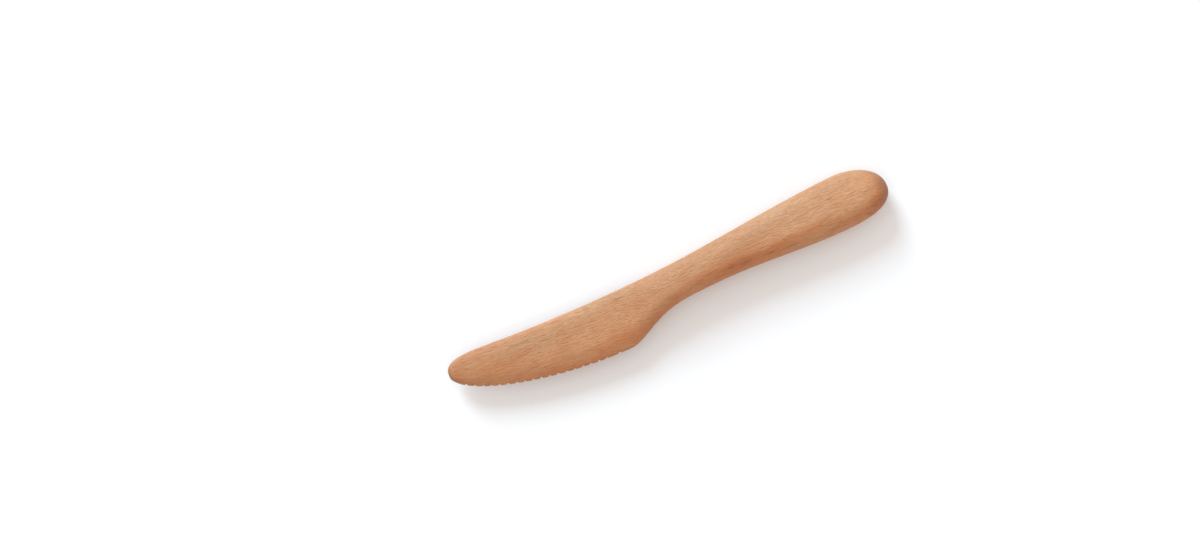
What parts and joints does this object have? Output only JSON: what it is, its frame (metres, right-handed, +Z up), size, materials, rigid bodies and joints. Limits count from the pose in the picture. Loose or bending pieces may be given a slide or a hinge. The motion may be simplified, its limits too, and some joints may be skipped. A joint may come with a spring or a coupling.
{
  "type": "wooden butter knife",
  "caption": "One-piece wooden butter knife with a broad rounded blade, a toothed convex edge, a narrow neck and an oval handle, for spreading and soft cutting.",
  "frame": {"origin": "on the table, under the middle of the knife's length and breadth, with the knife lying on its side", "axes": "+X runs along the knife from the tip to the butt, +Y points across the blade from the toothed edge to the spine, and +Z is up, square to the blade's side"},
  "size_m": [0.2, 0.0288, 0.014],
  "materials": {
    "beech": "oiled satin"
  },
  "bodies": {
    "root": {"knife": "beech"}
  },
  "joints": []
}
